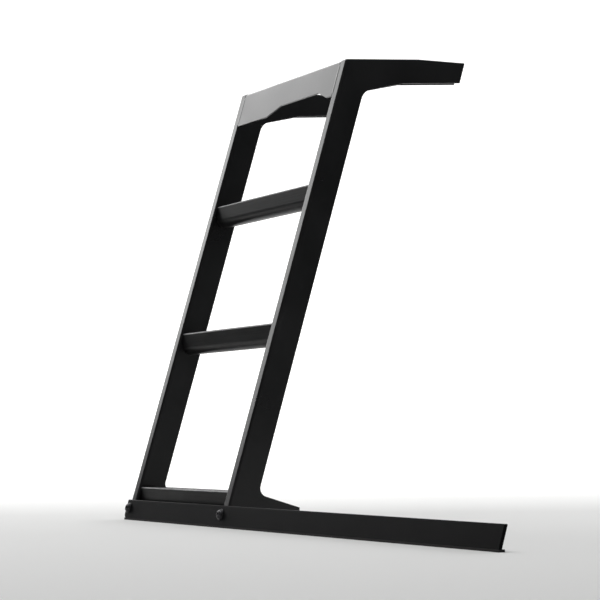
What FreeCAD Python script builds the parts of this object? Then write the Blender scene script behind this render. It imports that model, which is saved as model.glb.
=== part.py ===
import FreeCAD, Part
import Sketcher
import os
import re

# Vehicle side ladder. Frame: +X runs rearward along the vehicle, +Y inboard, +Z up.
# The origin lies on the underside of the base pad, midway between the two side frames.
# All sizes are in millimetres and degrees.

SIZES = {
    # overall frame
    "lean": 16.8,
    "ladder_width": 356,
    "channel_width": 18,
    "sheet": 2,
    "fold_radius": 3,
    "stile_depth": 39.5,
    "face_setback": 56.5,
    # top arms
    "arm_height": 675,
    "arm_reach": 344,
    "corner_drop": 8,
    "arm_flat": 78,
    "arm_end_height": 31,
    "arm_knee_inset": 106,
    "arm_knee_drop": 38,
    "arm_root_drop": 53,
    "arm_root_radius": 22,
    "rack_hole_radius": 4.5,
    "rack_hole_spacing": 40,
    "rack_hole_inset": 19,
    # feet
    "foot_reach": 62,
    "foot_end_height": 25,
    "foot_root_height": 45,
    "foot_root_radius": 12,
    # top plate with its hand grip
    "plate_height": 55,
    "plate_return": 26,
    "plate_bend_radius": 4,
    "grip_height": 43,
    "grip_front_tab": 122,
    "grip_front_slope": 45,
    "grip_length": 123,
    "grip_rear_slope": 31,
    "grip_corner_radius": 6,
    # rungs
    "rung_depth": 28,
    "rung_setback": 7.5,
    "rung_height": 33,
    "rung_wall": 3,
    "rung_top_radius": 3,
    "rung_belly_radius": 12,
    "rung_bore_chamfer": 5.4,
    "rung_groove_width": 2,
    "rung_groove_depth": 1,
    "rung_groove_pitch": 4.5,
    "lower_rung_height": 33,
    "middle_rung_height": 268.5,
    "upper_rung_height": 468.5,
    # base
    "pad_thickness": 3,
    "floor_thickness": 4,
    "rail_thickness": 4,
    "rail_height": 30,
    "rail_nose": 2,
    "rail_tail": 714,
    "rail_corner_radius": 8,
    "rail_edge_radius": 1,
    "strip_width": 8,
    # how far a cutting outline runs past the metal it cuts
    "overrun": 10,
}

GROOVES_ACROSS_RUNG = 5

# Points nearer to each other than this count as the same point
SAME_POINT = 0.01

doc = FreeCAD.newDocument("side_ladder")
sheet = doc.addObject("Spreadsheet::Sheet", "sizes")
for row, (alias, amount) in enumerate(SIZES.items(), start=1):
    sheet.set(f"A{row}", alias)
    sheet.set(f"B{row}", str(amount))
    sheet.setAlias(f"B{row}", alias)
doc.recompute()


def bind(text):
    """Turn the size names in a formula into references to the sheet's cells."""
    def cell(match):
        word = match.group()
        return f"sizes.{word}" if word in SIZES else word
    return re.sub(r"[a-z_]+", cell, str(text))


def value(text):
    """The number that a formula gives now."""
    return float(sheet.evalExpression(bind(text)))


def set_size(item, prop, text):
    item.setExpression(prop, bind(text))


def new_sketch(body, name, role):
    sketch = body.newObject("Sketcher::SketchObject", name)
    plane = [feature for feature in body.Origin.OriginFeatures if feature.Role == role][0]
    sketch.AttachmentSupport = [(plane, "")]
    sketch.MapMode = "FlatFace"
    return sketch


def pin_point(sketch, geometry, position, point):
    """Hold a point of the sketch at two formulas, measured from the sketch's origin."""
    for kind, text in zip(("DistanceX", "DistanceY"), point):
        rule = Sketcher.Constraint(kind, -1, 1, geometry, position, value(text))
        index = sketch.addConstraint(rule)
        sketch.setExpression(f"Constraints[{index}]", bind(text))


def add_outline(sketch, points):
    """A closed outline of straight edges through points given as pairs of formulas."""
    corners = [FreeCAD.Vector(value(across), value(up), 0) for across, up in points]
    count = len(corners)
    first = sketch.GeometryCount
    for index in range(count):
        edge = Part.LineSegment(corners[index], corners[(index + 1) % count])
        sketch.addGeometry(edge, False)
    for index in range(count):
        following = first + (index + 1) % count
        sketch.addConstraint(Sketcher.Constraint("Coincident", first + index, 2, following, 1))
    for index in range(count):
        pin_point(sketch, first + index, 1, points[index])


def add_circle(sketch, centre, radius):
    place = FreeCAD.Vector(value(centre[0]), value(centre[1]), 0)
    circle = Part.Circle(place, FreeCAD.Vector(0, 0, 1), value(radius))
    geometry = sketch.addGeometry(circle, False)
    index = sketch.addConstraint(Sketcher.Constraint("Radius", geometry, value(radius)))
    sketch.setExpression(f"Constraints[{index}]", bind(radius))
    pin_point(sketch, geometry, 3, centre)


def new_body(label):
    body = doc.addObject("PartDesign::Body", label)
    body.Label = label
    return body


def extrude(body, kind, name, sketch, length, backward=None):
    """A pad or pocket: to both sides evenly, or by two lengths where backward is given."""
    feature = body.newObject(f"PartDesign::{kind}", name)
    feature.Profile = sketch
    feature.SideType = "Symmetric" if backward is None else "Two sides"
    set_size(feature, "Length", length)
    if backward is not None:
        set_size(feature, "Length2", backward)
    sketch.Visibility = False
    doc.recompute()
    return feature


def round_edges(body, name, base, radius, belongs):
    """Round the edges of a feature for which belongs(edge) is true."""
    names = []
    for number, edge in enumerate(base.Shape.Edges, start=1):
        if belongs(edge):
            names.append(f"Edge{number}")
    if not names:
        raise RuntimeError(f"{name}: no edge to round")
    fillet = body.newObject("PartDesign::Fillet", name)
    fillet.Base = (base, names)
    set_size(fillet, "Radius", radius)
    doc.recompute()
    return fillet


def along(axis, corners):
    """A test for the edges along an axis (0, 1 or 2) that pass through given corners."""
    wanted = [[value(text) for text in corner] for corner in corners]
    others = [index for index in range(3) if index != axis]

    def belongs(edge):
        ends = [vertex.Point for vertex in edge.Vertexes]
        if len(ends) != 2 or abs(ends[1][axis] - ends[0][axis]) < 0.5 * edge.Length:
            return False
        for corner in wanted:
            gaps = [abs(end[index] - place) for end in ends for index, place in zip(others, corner)]
            if max(gaps) < SAME_POINT:
                return True
        return False
    return belongs


def between(corners):
    """A test for the edges that run from one of the given corners to the next, or across one inside."""
    wanted = [[value(text) for text in corner] for corner in corners]

    def number(point):
        for index, corner in enumerate(wanted):
            if max(abs(point.y - corner[0]), abs(point.z - corner[1])) < SAME_POINT:
                return index
        return None

    def belongs(edge):
        if len(edge.Vertexes) != 2:
            return False
        ends = [number(vertex.Point) for vertex in edge.Vertexes]
        if None in ends:
            return False
        return ends[0] != ends[1] or ends[0] == 1
    return belongs


# Heights and distances that several pieces share
FLOOR_TOP = "(pad_thickness + floor_thickness)"
CORNER = "(arm_height - corner_drop)"
ARM_ROOT = "(arm_height - arm_root_drop)"
RAIL_FRONT = "(ladder_width / 2 + rail_nose)"
RAIL_REAR = "(ladder_width / 2 + rail_tail)"
INNER_WIDTH = "(ladder_width - 2 * channel_width)"


def outer(height):
    """How far inboard the ladder's outer plane stands at a height."""
    return f"(({height}) * tan(lean) - face_setback)"


def inner(height):
    """How far inboard the stile's inner edge stands at a height."""
    return f"({outer(height)} + stile_depth / cos(lean))"


RAIL_EDGE = f"({outer('pad_thickness')} - rail_thickness / cos(lean))"


def side_frame(label, place):
    """A folded channel, open towards the vehicle, with its top arm and its foot."""
    body = new_body(label)
    arm_root = (inner(ARM_ROOT), ARM_ROOT)
    foot_root = (inner("foot_root_height"), "foot_root_height")
    profile = new_sketch(body, f"{label}_profile", "YZ_Plane")
    add_outline(profile, [
        (outer(FLOOR_TOP), FLOOR_TOP),
        ("foot_reach", FLOOR_TOP),
        ("foot_reach", "foot_end_height"),
        foot_root,
        arm_root,
        ("arm_reach - arm_knee_inset", "arm_height - arm_knee_drop"),
        ("arm_reach - arm_end_height * tan(lean)", "arm_height - arm_end_height"),
        ("arm_reach", "arm_height"),
        ("arm_reach - arm_flat", "arm_height"),
        (outer(CORNER), CORNER),
    ])
    pad = extrude(body, "Pad", f"{label}_blank", profile, "channel_width")
    rounded = round_edges(body, f"{label}_arm_root", pad, "arm_root_radius", along(0, [arm_root]))
    rounded = round_edges(body, f"{label}_foot_root", rounded, "foot_root_radius", along(0, [foot_root]))
    folds = [
        (outer(FLOOR_TOP), FLOOR_TOP),
        (outer(CORNER), CORNER),
        ("arm_reach - arm_flat", "arm_height"),
        ("arm_reach", "arm_height"),
    ]
    round_edges(body, f"{label}_folds", rounded, "fold_radius", between(folds))

    hollow = new_sketch(body, f"{label}_hollow", "YZ_Plane")
    below = f"{FLOOR_TOP} - overrun"
    beyond = "arm_reach + overrun"
    web = "sheet / cos(lean)"
    add_outline(hollow, [
        (f"{outer(below)} + {web}", below),
        (beyond, below),
        (beyond, "arm_height - sheet"),
        ("arm_reach - arm_flat", "arm_height - sheet"),
        (f"{outer(f'{CORNER} - sheet')} + {web}", f"{CORNER} - sheet"),
    ])
    extrude(body, "Pocket", f"{label}_channel", hollow, "channel_width - 2 * sheet")

    holes = new_sketch(body, f"{label}_holes", "XY_Plane")
    for inset in ("rack_hole_inset", "rack_hole_inset + rack_hole_spacing"):
        add_circle(holes, ("0", f"arm_reach - ({inset})"), "rack_hole_radius")
    extrude(body, "Pocket", f"{label}_rack_holes", holes, "2 * (arm_height + overrun)")
    set_size(body, "Placement.Base.x", place)
    return body


def top_plate():
    """The plate between the frames, folded back along its top, with the hand grip cut below."""
    body = new_body("top_plate")
    section = new_sketch(body, "plate_section", "YZ_Plane")
    add_outline(section, [
        ("0", "0"),
        ("0", "-plate_height"),
        ("sheet", "-plate_height"),
        ("sheet", "-sheet"),
        ("plate_return", "-sheet"),
        ("plate_return", "0"),
    ])
    pad = extrude(body, "Pad", "plate_blank", section, INNER_WIDTH)
    bend = round_edges(body, "plate_bend", pad, "plate_bend_radius", along(0, [("0", "0")]))
    round_edges(body, "plate_bend_inside", bend, "plate_bend_radius - sheet", along(0, [("sheet", "-sheet")]))

    grip = new_sketch(body, "grip_outline", "XZ_Plane")
    front = "(grip_front_tab - ladder_width / 2)"
    slope_end = f"({front} + grip_front_slope)"
    flat_end = f"({slope_end} + grip_length)"
    rear = f"({flat_end} + grip_rear_slope)"
    add_outline(grip, [
        (front, "-plate_height - overrun"),
        (front, "-plate_height"),
        (slope_end, "-grip_height"),
        (flat_end, "-grip_height"),
        (rear, "-plate_height"),
        (rear, "-plate_height - overrun"),
    ])
    cut = extrude(body, "Pocket", "grip_cut", grip, "4 * sheet")
    corners = [(slope_end, "-grip_height"), (flat_end, "-grip_height"), (front, "-plate_height"),
               (rear, "-plate_height")]
    round_edges(body, "grip_corners", cut, "grip_corner_radius", along(1, corners))
    tilt = FreeCAD.Rotation(FreeCAD.Vector(1, 0, 0), 1)
    body.Placement = FreeCAD.Placement(FreeCAD.Vector(0, 0, 0), tilt)
    set_size(body, "Placement.Rotation.Angle", "-lean")
    set_size(body, "Placement.Base.y", outer(CORNER))
    set_size(body, "Placement.Base.z", CORNER)
    return body


def rung(label, height):
    """A hollow tread, flat and grooved on top and rounded underneath."""
    body = new_body(label)
    half = "rung_depth / 2"
    top = "rung_height / 2"
    section = new_sketch(body, f"{label}_section", "YZ_Plane")
    lower = [(f"-{half}", f"-{top}"), (half, f"-{top}")]
    upper = [(half, top), (f"-{half}", top)]
    add_outline(section, lower + upper)
    pad = extrude(body, "Pad", f"{label}_blank", section, INNER_WIDTH)
    rounded = round_edges(body, f"{label}_belly", pad, "rung_belly_radius", along(0, lower))
    round_edges(body, f"{label}_edges", rounded, "rung_top_radius", along(0, upper))

    bore = new_sketch(body, f"{label}_bore", "YZ_Plane")
    side = "rung_depth / 2 - rung_wall"
    roof = "rung_height / 2 - rung_wall"
    turn = "rung_bore_chamfer"
    add_outline(bore, [
        (f"-({side} - {turn})", f"-({roof})"),
        (f"{side} - {turn}", f"-({roof})"),
        (side, f"-({roof} - {turn})"),
        (side, roof),
        (f"-({side})", roof),
        (f"-({side})", f"-({roof} - {turn})"),
    ])
    extrude(body, "Pocket", f"{label}_hollow", bore, "ladder_width")

    grooves = new_sketch(body, f"{label}_grooves", "YZ_Plane")
    for number in range(GROOVES_ACROSS_RUNG):
        centre = f"({number} - {(GROOVES_ACROSS_RUNG - 1) / 2}) * rung_groove_pitch"
        low = f"{top} - rung_groove_depth"
        high = f"{top} + overrun"
        left = f"{centre} - rung_groove_width / 2"
        right = f"{centre} + rung_groove_width / 2"
        add_outline(grooves, [(left, low), (right, low), (right, high), (left, high)])
    extrude(body, "Pocket", f"{label}_grip", grooves, "ladder_width")
    set_size(body, "Placement.Base.y", f"{outer(height)} + rung_setback + rung_depth / 2")
    set_size(body, "Placement.Base.z", height)
    return body


def base_rail():
    """The long leaning rail along the beltline, with the floor that the feet stand on."""
    body = new_body("base_rail")
    wall = "rail_thickness / cos(lean)"
    face = new_sketch(body, "rail_section", "YZ_Plane")
    add_outline(face, [
        (RAIL_EDGE, "pad_thickness"),
        (outer("pad_thickness"), "pad_thickness"),
        (outer("rail_height"), "rail_height"),
        (f"{outer('rail_height')} - {wall}", "rail_height"),
    ])
    extrude(body, "Pad", "rail_face", face, RAIL_REAR, RAIL_FRONT)
    floor = new_sketch(body, "floor_section", "YZ_Plane")
    add_outline(floor, [
        (outer("pad_thickness"), "pad_thickness"),
        ("foot_reach", "pad_thickness"),
        ("foot_reach", FLOOR_TOP),
        (outer(FLOOR_TOP), FLOOR_TOP),
    ])
    blank = extrude(body, "Pad", "rail_floor", floor, "ladder_width")

    def front_corner(edge):
        box = edge.BoundBox
        at_front = abs(box.XMin + value(RAIL_FRONT)) < SAME_POINT and box.XLength < SAME_POINT
        return at_front and box.ZMax < value("pad_thickness") + SAME_POINT
    rounded = round_edges(body, "rail_corner", blank, "rail_corner_radius", front_corner)
    tops = [(outer("rail_height"), "rail_height"), (f"{outer('rail_height')} - {wall}", "rail_height")]
    round_edges(body, "rail_edges", rounded, "rail_edge_radius", along(0, tops))
    return body


def rubber(label, start, length, width):
    """A flat rubber piece under the rail, from start along X, with its edge at the rail's face."""
    box = doc.addObject("Part::Box", label)
    box.Label = label
    set_size(box, "Length", length)
    set_size(box, "Width", width)
    set_size(box, "Height", "pad_thickness")
    set_size(box, "Placement.Base.x", start)
    set_size(box, "Placement.Base.y", RAIL_EDGE)
    return box


pieces = [
    side_frame("front_side_frame", "(channel_width - ladder_width) / 2"),
    side_frame("rear_side_frame", "(ladder_width - channel_width) / 2"),
    top_plate(),
    rung("lower_rung", "lower_rung_height"),
    rung("middle_rung", "middle_rung_height"),
    rung("upper_rung", "upper_rung_height"),
    base_rail(),
    rubber("base_pad", "-ladder_width / 2", "ladder_width", f"foot_reach - {RAIL_EDGE}"),
    rubber("rail_strip", "ladder_width / 2", "rail_tail", "strip_width"),
]
doc.recompute()

for item in doc.Objects:
    if "Invalid" in item.State or "Error" in item.State:
        raise RuntimeError(f"{item.Label}: {item.State}")
for piece in pieces:
    if piece.Shape.isNull() or not piece.Shape.isValid():
        raise RuntimeError(f"{piece.Label}: bad shape")

os.makedirs("parts", exist_ok=True)
for piece in pieces:
    piece.Shape.exportStep(f"parts/{piece.Label}.step")
    size = piece.Shape.BoundBox
    print(piece.Label, round(piece.Shape.Volume / 1000, 1), "cm3", len(piece.Shape.Solids), "solid", size)
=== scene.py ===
import math

import bmesh
import bpy
from mathutils import Matrix, Vector


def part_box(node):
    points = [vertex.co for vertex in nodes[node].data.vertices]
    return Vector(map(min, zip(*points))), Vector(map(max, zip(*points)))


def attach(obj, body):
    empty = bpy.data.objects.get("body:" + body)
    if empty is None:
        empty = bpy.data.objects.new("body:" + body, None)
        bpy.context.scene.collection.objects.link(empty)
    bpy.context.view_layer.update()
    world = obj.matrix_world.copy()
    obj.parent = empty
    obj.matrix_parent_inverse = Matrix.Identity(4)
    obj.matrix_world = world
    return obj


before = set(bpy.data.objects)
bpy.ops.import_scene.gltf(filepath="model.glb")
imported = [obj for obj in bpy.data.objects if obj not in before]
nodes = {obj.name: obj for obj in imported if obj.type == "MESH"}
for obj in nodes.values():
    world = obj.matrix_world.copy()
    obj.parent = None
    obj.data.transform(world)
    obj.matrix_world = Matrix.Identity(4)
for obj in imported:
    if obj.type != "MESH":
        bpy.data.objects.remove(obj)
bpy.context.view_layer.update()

MM = 0.001

# Facts of the ladder that the frame's boxes give
rear_low, rear_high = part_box("rear_side_frame")
front_low, front_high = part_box("front_side_frame")
plate_low, plate_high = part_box("top_plate")
rail_low, rail_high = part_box("base_rail")
RUNGS = ("lower_rung", "middle_rung", "upper_rung")

# Facts of the ladder that a box doesn't give
LEAN = math.radians(16.8)
FACE_SETBACK = 56.5 * MM
SHEET = 2 * MM
RAIL_THICKNESS = 4 * MM
FLOOR_TOP = 7 * MM

# The outer plane leans inboard: its outward normal and its upward direction
FACE_OUT = Vector((0, -math.cos(LEAN), math.sin(LEAN)))
FACE_UP = Vector((0, math.sin(LEAN), math.cos(LEAN)))


def face_point(x, height):
    """A point of the ladder's outer plane."""
    return Vector((x, height * math.tan(LEAN) - FACE_SETBACK, height))


# Colours of the finishes
COAT_BLACK = (0.0050, 0.0050, 0.0054)
# Darker black for the base rail than for the frames: painted shade
RAIL_SHADED_BLACK = (0.0035, 0.0035, 0.0039)
RUNG_BLACK = (0.0045, 0.0045, 0.0047)
DUST_GREY = (0.08, 0.08, 0.08)
# Pale grey along the rungs' upper edges: wear and a painted highlight
WORN_HIGHLIGHT_GREY = (0.34, 0.34, 0.345)
RUBBER_DARK = (0.010, 0.010, 0.010)
RUBBER_PALE = (0.028, 0.027, 0.026)
ZINC_DARK = (0.03, 0.03, 0.032)
ZINC_PALE = (0.10, 0.10, 0.105)
PAPER_COLOUR = (0.82, 0.82, 0.81)

BEVEL_SAMPLES = 6


# Materials

def new_material(name):
    """An empty Principled material, with its node tree and its shader."""
    material = bpy.data.materials.new(name)
    material.use_nodes = True
    tree = material.node_tree
    tree.nodes.clear()
    output = tree.nodes.new("ShaderNodeOutputMaterial")
    shader = tree.nodes.new("ShaderNodeBsdfPrincipled")
    tree.links.new(shader.outputs["BSDF"], output.inputs["Surface"])
    return material, tree, shader


def add_noise(tree, scale, detail, roughness=0.5, stretch=(1, 1, 1)):
    """Noise in the object's own space, in metres; stretch gives other scales along X, Y and Z."""
    place = tree.nodes.new("ShaderNodeTexCoord")
    mapping = tree.nodes.new("ShaderNodeMapping")
    mapping.inputs["Scale"].default_value = stretch
    noise = tree.nodes.new("ShaderNodeTexNoise")
    noise.inputs["Scale"].default_value = scale
    noise.inputs["Detail"].default_value = detail
    noise.inputs["Roughness"].default_value = roughness
    tree.links.new(place.outputs["Object"], mapping.inputs["Vector"])
    tree.links.new(mapping.outputs["Vector"], noise.inputs["Vector"])
    return noise.outputs["Fac"]


def remap(tree, value, source, target):
    """Bring a value from one range, a pair of numbers, to another."""
    node = tree.nodes.new("ShaderNodeMapRange")
    for socket, number in zip(("From Min", "From Max", "To Min", "To Max"), (*source, *target)):
        node.inputs[socket].default_value = number
    tree.links.new(value, node.inputs["Value"])
    return node.outputs["Result"]


def multiply(tree, first, second):
    node = tree.nodes.new("ShaderNodeMath")
    node.operation = "MULTIPLY"
    tree.links.new(first, node.inputs[0])
    tree.links.new(second, node.inputs[1])
    return node.outputs["Value"]


def blend_colours(tree, amount, first, second):
    """Go from the first colour, a tuple or a socket, to the second as the amount grows."""
    mix = tree.nodes.new("ShaderNodeMix")
    mix.data_type = "RGBA"
    tree.links.new(amount, mix.inputs["Factor"])
    for socket, colour in (("A", first), ("B", second)):
        entry = [item for item in mix.inputs if item.name == socket and item.type == "RGBA"][0]
        if isinstance(colour, bpy.types.NodeSocket):
            tree.links.new(colour, entry)
        else:
            entry.default_value = (*colour, 1)
    return [item for item in mix.outputs if item.type == "RGBA"][0]


def add_bump(tree, height, strength, distance, normal=None):
    bump = tree.nodes.new("ShaderNodeBump")
    bump.inputs["Strength"].default_value = strength
    bump.inputs["Distance"].default_value = distance
    tree.links.new(height, bump.inputs["Height"])
    if normal is not None:
        tree.links.new(normal, bump.inputs["Normal"])
    return bump.outputs["Normal"]


def soft_edges(tree, radius):
    bevel = tree.nodes.new("ShaderNodeBevel")
    bevel.samples = BEVEL_SAMPLES
    bevel.inputs["Radius"].default_value = radius
    return bevel.outputs["Normal"]


def lighten(colour, factor, lift):
    return tuple(channel * factor + lift for channel in colour)


def powder_coat(name, colour, roughness, grain_strength, ior):
    """Satin black powder coat: fine orange peel, uneven sheen and a little dust."""
    material, tree, shader = new_material(name)
    cloud = add_noise(tree, scale=9, detail=4)
    peel = add_noise(tree, scale=900, detail=2)
    wave = add_noise(tree, scale=240, detail=2)
    dust = add_noise(tree, scale=60, detail=8, roughness=0.7)
    paler = lighten(colour, factor=1.9, lift=0.002)
    shade = blend_colours(tree, remap(tree, cloud, (0.35, 0.7), (0, 1)), colour, paler)
    dusty = blend_colours(tree, remap(tree, dust, (0.62, 0.85), (0, 0.2)), shade, DUST_GREY)
    tree.links.new(dusty, shader.inputs["Base Color"])
    sheen = remap(tree, cloud, (0.3, 0.7), (roughness - 0.03, roughness + 0.05))
    tree.links.new(sheen, shader.inputs["Roughness"])
    normal = soft_edges(tree, radius=0.6 * MM)
    normal = add_bump(tree, wave, strength=0.10, distance=0.15 * MM, normal=normal)
    normal = add_bump(tree, peel, strength=grain_strength, distance=0.08 * MM, normal=normal)
    tree.links.new(normal, shader.inputs["Normal"])
    shader.inputs["IOR"].default_value = ior
    return material


def drawn_metal(name, colour, roughness, ior):
    """Black coated extrusion with faint lines along its length, paler along its upper edges: wear and a
    painted highlight.
    """
    material, tree, shader = new_material(name)
    lines = add_noise(tree, scale=1, detail=3, roughness=0.6, stretch=(6, 1400, 1400))
    cloud = add_noise(tree, scale=14, detail=4)
    wear_highlight_noise = add_noise(tree, scale=120, detail=8, roughness=0.7, stretch=(0.3, 1, 1))
    paler = lighten(colour, factor=2.2, lift=0.003)
    shade = blend_colours(tree, remap(tree, lines, (0.35, 0.7), (0, 1)), colour, paler)
    geometry = tree.nodes.new("ShaderNodeNewGeometry")
    parts = tree.nodes.new("ShaderNodeSeparateXYZ")
    tree.links.new(geometry.outputs["Normal"], parts.inputs["Vector"])
    # Paler on faces that tilt upwards, short of the flat tops, broken up by noise: a painted highlight along
    # the upper edges, with some wear
    above_side = remap(tree, parts.outputs["Z"], (0.2, 0.6), (0, 1))
    below_top = remap(tree, parts.outputs["Z"], (0.85, 0.98), (1, 0.15))
    edge = multiply(tree, above_side, below_top)
    wear_and_highlight = multiply(tree, edge, remap(tree, wear_highlight_noise, (0.35, 0.65), (0.3, 0.9)))
    tree.links.new(blend_colours(tree, wear_and_highlight, shade, WORN_HIGHLIGHT_GREY), shader.inputs["Base Color"])
    sheen = remap(tree, cloud, (0.3, 0.7), (roughness - 0.04, roughness + 0.06))
    tree.links.new(sheen, shader.inputs["Roughness"])
    normal = soft_edges(tree, radius=0.4 * MM)
    normal = add_bump(tree, lines, strength=0.12, distance=0.1 * MM, normal=normal)
    tree.links.new(normal, shader.inputs["Normal"])
    shader.inputs["IOR"].default_value = ior
    return material


def moulded_rubber(name):
    """Matte black rubber with a fine moulded grain."""
    material, tree, shader = new_material(name)
    cloud = add_noise(tree, scale=30, detail=5)
    grain = add_noise(tree, scale=1500, detail=3)
    patches = remap(tree, cloud, (0.35, 0.75), (0, 1))
    shade = blend_colours(tree, patches, RUBBER_DARK, RUBBER_PALE)
    tree.links.new(shade, shader.inputs["Base Color"])
    tree.links.new(remap(tree, cloud, (0.3, 0.7), (0.75, 0.9)), shader.inputs["Roughness"])
    normal = add_bump(tree, grain, strength=0.25, distance=0.1 * MM)
    tree.links.new(normal, shader.inputs["Normal"])
    return material


def dark_zinc(name):
    """Black zinc on bolts and washers, with paler worn spots."""
    material, tree, shader = new_material(name)
    cloud = add_noise(tree, scale=350, detail=5, roughness=0.6)
    wear_and_highlight = remap(tree, cloud, (0.45, 0.75), (0, 1))
    shade = blend_colours(tree, wear_and_highlight, ZINC_DARK, ZINC_PALE)
    tree.links.new(shade, shader.inputs["Base Color"])
    tree.links.new(remap(tree, cloud, (0.3, 0.7), (0.28, 0.42)), shader.inputs["Roughness"])
    tree.links.new(soft_edges(tree, radius=0.3 * MM), shader.inputs["Normal"])
    shader.inputs["Metallic"].default_value = 0.7
    return material


coat = powder_coat("powder_coat", COAT_BLACK, roughness=0.30, grain_strength=0.20, ior=1.46)
# The rail's coat is a darker, rougher copy of the frames' coat; its darker colour is painted shade
rail_shaded_coat = powder_coat("rail_shaded_powder_coat", RAIL_SHADED_BLACK, roughness=0.50, grain_strength=0.30, ior=1.12)
rung_metal = drawn_metal("rung_metal", RUNG_BLACK, roughness=0.34, ior=1.17)
rubber = moulded_rubber("moulded_rubber")
zinc = dark_zinc("dark_zinc")

FINISHES = {
    "front_side_frame": coat,
    "rear_side_frame": coat,
    "top_plate": coat,
    "base_rail": rail_shaded_coat,
    "lower_rung": rung_metal,
    "middle_rung": rung_metal,
    "upper_rung": rung_metal,
    "base_pad": rubber,
    "rail_strip": rubber,
}
for node_name, finish in FINISHES.items():
    nodes[node_name].data.materials.clear()
    nodes[node_name].data.materials.append(finish)


# Pieces that the frame leaves to this script
SMOOTH_ANGLE = math.radians(35)

RAIL_BOLT = {
    "head_radius": 6.5 * MM,
    "head_height": 3.8 * MM,
    "key_width": 4.6 * MM,
    "washer_radius": 8 * MM,
    "washer_height": 1.4 * MM,
}
RUNG_BOLT = {
    "head_radius": 5 * MM,
    "head_height": 3 * MM,
    "key_width": 4 * MM,
    "washer_radius": 6 * MM,
    "washer_height": 1 * MM,
}
BOLT_SEGMENTS = 36
DOME_STEPS = 7
BOLT_EDGE = 0.25 * MM

# Half the distance between the two bolts at a rung's end
RUNG_BOLT_RISE = 7 * MM

# Scales of a raised bead, and the much fainter ones that dressing leaves
RAISED_RIPPLE = 0.3
DRESSED_RIPPLE = 0.02
BEAD_SIDES = 10
ROWS_PER_SCALE = 6
FEWEST_ROWS = 24


def add_piece(name, mesh, material):
    piece = bpy.data.objects.new(name, mesh)
    bpy.context.scene.collection.objects.link(piece)
    mesh.materials.append(material)
    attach(piece, "root")


def finish_mesh(builder, name):
    """Turn the builder into a mesh that is smooth up to a given angle."""
    bmesh.ops.recalc_face_normals(builder, faces=builder.faces[:])
    mesh = bpy.data.meshes.new(name)
    builder.to_mesh(mesh)
    builder.free()
    for polygon in mesh.polygons:
        polygon.use_smooth = True
    mesh.set_sharp_from_angle(angle=SMOOTH_ANGLE)
    return mesh


def axes_place(origin, up, across):
    """A placement whose local Z is up and whose local X is across."""
    side = up.cross(across).normalized()
    turn = Matrix((across.normalized(), side, up.normalized())).transposed().to_4x4()
    return Matrix.Translation(origin) @ turn


def lathe(builder, outline, place):
    """Turn an outline of (radius, height) pairs about the local Z axis and set it in place."""
    rings = []
    for radius, height in outline:
        ring = []
        for step in range(BOLT_SEGMENTS):
            angle = 2 * math.pi * step / BOLT_SEGMENTS
            point = Vector((radius * math.cos(angle), radius * math.sin(angle), height))
            ring.append(builder.verts.new(place @ point))
        rings.append(ring)
    for lower, upper in zip(rings, rings[1:]):
        for step in range(BOLT_SEGMENTS):
            after = (step + 1) % BOLT_SEGMENTS
            builder.faces.new((lower[step], lower[after], upper[after], upper[step]))
    builder.faces.new(list(reversed(rings[0])))
    return rings


def hexagon_socket(builder, rim, top, key_width, depth, place):
    """Close a round rim with a hexagon socket that goes down from the height of the rim."""
    mouth = []
    floor = []
    for step in range(BOLT_SEGMENTS):
        angle = 2 * math.pi * step / BOLT_SEGMENTS
        from_flat = (angle + math.pi / 6) % (math.pi / 3) - math.pi / 6
        radius = 0.5 * key_width / math.cos(from_flat)
        across = Vector((radius * math.cos(angle), radius * math.sin(angle), 0))
        mouth.append(builder.verts.new(place @ (across + Vector((0, 0, top)))))
        floor.append(builder.verts.new(place @ (across + Vector((0, 0, top - depth)))))
    for step in range(BOLT_SEGMENTS):
        after = (step + 1) % BOLT_SEGMENTS
        builder.faces.new((rim[step], rim[after], mouth[after], mouth[step]))
        builder.faces.new((mouth[step], mouth[after], floor[after], floor[step]))
    builder.faces.new(floor)


def button_bolt(builder, place, head_radius, head_height, key_width, washer_radius, washer_height):
    """A washer and a domed bolt head with a hexagon socket, standing on the local XY plane."""
    washer_inside = 0.6 * head_radius
    socket_depth = 0.55 * head_height
    rim_radius = 1.25 * key_width / math.sqrt(3)
    washer = [
        (washer_radius, 0),
        (washer_radius, washer_height - BOLT_EDGE),
        (washer_radius - BOLT_EDGE, washer_height),
        (washer_inside, washer_height),
    ]
    builder.faces.new(lathe(builder, washer, place)[-1])
    dome_foot = washer_height + BOLT_EDGE
    dome = [(head_radius - BOLT_EDGE, washer_height), (head_radius, dome_foot)]
    for step in range(1, DOME_STEPS + 1):
        turn = 0.5 * math.pi * step / DOME_STEPS
        radius = rim_radius + (head_radius - rim_radius) * math.cos(turn)
        height = dome_foot + (head_height - BOLT_EDGE) * math.sin(turn)
        dome.append((radius, height))
    rim = lathe(builder, dome, place)[-1]
    hexagon_socket(builder, rim, washer_height + head_height, key_width, socket_depth, place)


def rail_bolts():
    """One bolt through the rail into the web of each side frame."""
    builder = bmesh.new()
    bolt_height = 0.5 * (rail_low.z + rail_high.z)
    for low, high in ((front_low, front_high), (rear_low, rear_high)):
        middle = 0.5 * (low.x + high.x)
        origin = face_point(middle, bolt_height) + RAIL_THICKNESS * FACE_OUT
        place = axes_place(origin, FACE_OUT, Vector((1, 0, 0)))
        button_bolt(builder, place, **RAIL_BOLT)
    add_piece("rail_bolts", finish_mesh(builder, "rail_bolts"), zinc)


def rung_bolts():
    """Two bolts at each rung's end, inside the channel, through its inner wall."""
    builder = bmesh.new()
    for rung in RUNGS:
        low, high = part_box(rung)
        centre = 0.5 * (low + high)
        for end, outward in ((high.x, 1), (low.x, -1)):
            wall = Vector((end + outward * SHEET, centre.y, centre.z))
            for rise in (-RUNG_BOLT_RISE, RUNG_BOLT_RISE):
                place = axes_place(wall + rise * FACE_UP, Vector((outward, 0, 0)), Vector((0, 1, 0)))
                button_bolt(builder, place, **RUNG_BOLT)
    add_piece("rung_bolts", finish_mesh(builder, "rung_bolts"), zinc)


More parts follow.
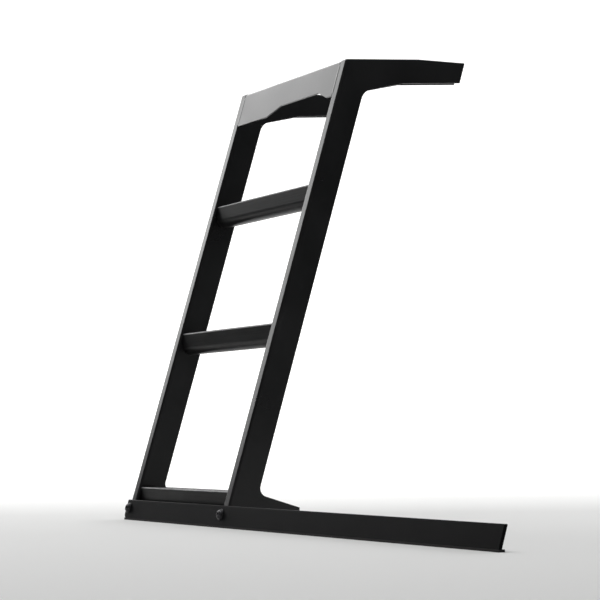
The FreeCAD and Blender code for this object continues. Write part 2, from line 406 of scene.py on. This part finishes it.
def weld_bead(builder, start, end, out, half_width, rise, pitch, ripple):
    """A straight bead whose scales follow each other along it and fade at both ends."""
    run = end - start
    along = run.normalized()
    side = along.cross(out).normalized()
    steps = max(FEWEST_ROWS, int(ROWS_PER_SCALE * run.length / pitch))
    fade_length = 1.5 * half_width
    least_fade = 0.05
    rows = []
    for step in range(steps + 1):
        reach = run.length * step / steps
        fade = min(1, reach / fade_length, (run.length - reach) / fade_length)
        swell = math.sqrt(max(least_fade, fade * (2 - fade)))
        scale = swell * (1 + ripple * (abs(math.sin(math.pi * reach / pitch)) - 0.5))
        row = []
        for part in range(BEAD_SIDES + 1):
            turn = math.pi * part / BEAD_SIDES
            across = side * (half_width * swell * math.cos(turn))
            upward = out * (rise * scale * math.sin(turn))
            row.append(builder.verts.new(start + along * reach + across + upward))
        rows.append(row)
    for row, after in zip(rows, rows[1:]):
        for part in range(BEAD_SIDES):
            builder.faces.new((row[part], row[part + 1], after[part + 1], after[part]))
        builder.faces.new((row[BEAD_SIDES], row[0], after[0], after[BEAD_SIDES]))
    builder.faces.new(rows[0])
    builder.faces.new(list(reversed(rows[-1])))


def plate_welds():
    """Welds between the top plate's ends and the side frames, dressed almost flush on the outer face."""
    builder = bmesh.new()
    end_margin = 1.5 * MM
    top_margin = 4 * MM
    dressed_shift = 1.4 * MM
    dressed_width = 3.6 * MM
    dressed_rise = 1.2 * MM
    dressed_proud = 0.25 * MM
    dressed_pitch = 2.2 * MM
    raised_shift = -0.5 * MM
    raised_radius = 2.2 * MM
    raised_pitch = 2.4 * MM
    low_end = plate_low.z + end_margin
    for end, outward in ((plate_high.x, 1), (plate_low.x, -1)):
        x = end + outward * dressed_shift
        sunk = FACE_OUT * (dressed_rise - dressed_proud)
        start = face_point(x, low_end) - sunk
        stop = face_point(x, plate_high.z - top_margin) - sunk
        weld_bead(builder, start, stop, FACE_OUT, dressed_width, dressed_rise, dressed_pitch, DRESSED_RIPPLE)
        x = end + outward * raised_shift
        start = face_point(x, low_end) - SHEET * FACE_OUT
        stop = face_point(x, plate_high.z - 1.5 * top_margin) - SHEET * FACE_OUT
        weld_bead(builder, start, stop, -FACE_OUT, raised_radius, raised_radius, raised_pitch, RAISED_RIPPLE)
    add_piece("plate_welds", finish_mesh(builder, "plate_welds"), coat)


def foot_welds():
    """Fillets along the inner walls of the side frames, on the base rail's floor."""
    builder = bmesh.new()
    radius = 2.8 * MM
    pitch = 2.6 * MM
    corner_gap = 0.3 * MM
    outer_margin = 8 * MM
    inner_margin = 6 * MM
    for wall, inward in ((rear_low.x, -1), (front_high.x, 1)):
        out = Vector((inward, 0, 1)).normalized()
        start = Vector((wall + inward * corner_gap, rear_low.y + outer_margin, FLOOR_TOP + corner_gap))
        stop = Vector((start.x, rail_high.y - inner_margin, start.z))
        weld_bead(builder, start, stop, out, radius, radius, pitch, RAISED_RIPPLE)
    add_piece("foot_welds", finish_mesh(builder, "foot_welds"), coat)


rail_bolts()
rung_bolts()
plate_welds()
foot_welds()


# The photograph's camera, in the ladder's frame
CAMERA_PLACE = Vector((2.7597, -1.2334, 0.1295))
CAMERA_LENS = 123
SENSOR_WIDTH = 36
CAMERA_ROLL = math.radians(-0.6)
AIM = Vector((0.16, 0.075, 0.318))

# The camera's level directions, which the backdrop follows
VIEW_AHEAD = Vector((-0.867, 0.498, 0))
VIEW_SIDE = Vector((0.498, 0.867, 0))

# What the soft lights face, and the dim light all round
LADDER_MIDDLE = Vector((0, 0.1, 0.35))
WORLD_COLOUR = (0.10, 0.102, 0.105)


def add_camera():
    data = bpy.data.cameras.new("camera")
    data.lens = CAMERA_LENS
    data.sensor_width = SENSOR_WIDTH
    camera = bpy.data.objects.new("camera", data)
    bpy.context.scene.collection.objects.link(camera)
    look = (AIM - CAMERA_PLACE).to_track_quat("-Z", "Y").to_matrix().to_4x4()
    camera.matrix_world = Matrix.Translation(CAMERA_PLACE) @ look @ Matrix.Rotation(CAMERA_ROLL, 4, "Z")
    bpy.context.scene.camera = camera


def from_angles(azimuth, elevation, distance):
    """An offset from the ladder's middle, azimuth in degrees from -X towards -Y."""
    turn = math.radians(azimuth)
    rise = math.radians(elevation)
    flat = math.cos(rise)
    return Vector((-math.cos(turn) * flat, -math.sin(turn) * flat, math.sin(rise))) * distance


def add_panel(name, offset, width, height, power):
    """A soft box light that faces the ladder's middle."""
    data = bpy.data.lights.new(name, "AREA")
    data.shape = "RECTANGLE"
    data.size = width
    data.size_y = height
    data.energy = power
    light = bpy.data.objects.new(name, data)
    bpy.context.scene.collection.objects.link(light)
    light.location = LADDER_MIDDLE + offset
    light.rotation_euler = (-offset).to_track_quat("-Z", "Y").to_euler()


def add_lights():
    """A panel ahead that the outer faces mirror, one above, one inboard, and a dim surround."""
    add_panel("front_panel", from_angles(7, 26, 4.0), width=2.4, height=2.6, power=66)
    add_panel("top_panel", Vector((0.4, -0.6, 3.6)), width=3.0, height=3.0, power=75)
    add_panel("inboard_panel", Vector((-0.3, 3.6, 1.4)), width=2.0, height=2.0, power=40)
    world = bpy.data.worlds.new("studio")
    world.use_nodes = True
    background = world.node_tree.nodes["Background"]
    background.inputs["Color"].default_value = (*WORLD_COLOUR, 1)
    background.inputs["Strength"].default_value = 1.0
    bpy.context.scene.world = world


def distance_along(tree, direction):
    """How far a point of the object lies along a direction."""
    place = tree.nodes.new("ShaderNodeTexCoord")
    product = tree.nodes.new("ShaderNodeVectorMath")
    product.operation = "DOT_PRODUCT"
    product.inputs[1].default_value = direction
    tree.links.new(place.outputs["Object"], product.inputs[0])
    return product.outputs["Value"]


def paper_material():
    """Pale paper that glows more and more towards the middle of the wall."""
    material, tree, shader = new_material("backdrop_paper")
    shader.inputs["Base Color"].default_value = (*PAPER_COLOUR, 1)
    shader.inputs["Roughness"].default_value = 0.9
    ahead = distance_along(tree, VIEW_AHEAD)
    off_axis = tree.nodes.new("ShaderNodeMath")
    off_axis.operation = "ABSOLUTE"
    tree.links.new(distance_along(tree, VIEW_SIDE), off_axis.inputs[0])
    towards_wall = remap(tree, ahead, (0.3, 4.0), (0, 0.8))
    towards_middle = remap(tree, off_axis.outputs["Value"], (1.5, 3.2), (1, 0))
    glow = multiply(tree, towards_wall, towards_middle)
    shader.inputs["Emission Color"].default_value = (1, 1, 1, 1)
    tree.links.new(glow, shader.inputs["Emission Strength"])
    return material


def add_stage(name, builder, material):
    mesh = bpy.data.meshes.new(name)
    builder.to_mesh(mesh)
    builder.free()
    for polygon in mesh.polygons:
        polygon.use_smooth = True
    mesh.materials.append(material)
    stage = bpy.data.objects.new(name, mesh)
    bpy.context.scene.collection.objects.link(stage)


def add_floor(material):
    """A wide pale floor."""
    floor_radius = 11
    floor = bmesh.new()
    bmesh.ops.create_circle(floor, cap_ends=True, segments=96, radius=floor_radius)
    add_stage("floor", floor, material)


def add_backdrop(material):
    """A bright sheet that sweeps up from the floor behind the ladder."""
    wall_distance = 4.5
    wall_height = 9.0
    half_width = 3.2
    bend_radius = 2.0
    bend_steps = 16
    outline = []
    for step in range(bend_steps + 1):
        turn = 0.5 * math.pi * step / bend_steps
        reach = wall_distance - bend_radius + bend_radius * math.sin(turn)
        outline.append((reach, bend_radius - bend_radius * math.cos(turn)))
    outline.append((wall_distance, wall_height))
    sheet = bmesh.new()
    rows = []
    for reach, height in outline:
        middle = VIEW_AHEAD * reach + Vector((0, 0, height))
        ends = (middle - VIEW_SIDE * half_width, middle + VIEW_SIDE * half_width)
        rows.append([sheet.verts.new(end) for end in ends])
    for lower, upper in zip(rows, rows[1:]):
        sheet.faces.new((lower[0], lower[1], upper[1], upper[0]))
    add_stage("backdrop", sheet, material)


add_camera()
add_lights()
paper = paper_material()
add_floor(paper)
add_backdrop(paper)
bpy.context.scene.view_settings.view_transform = "Standard"
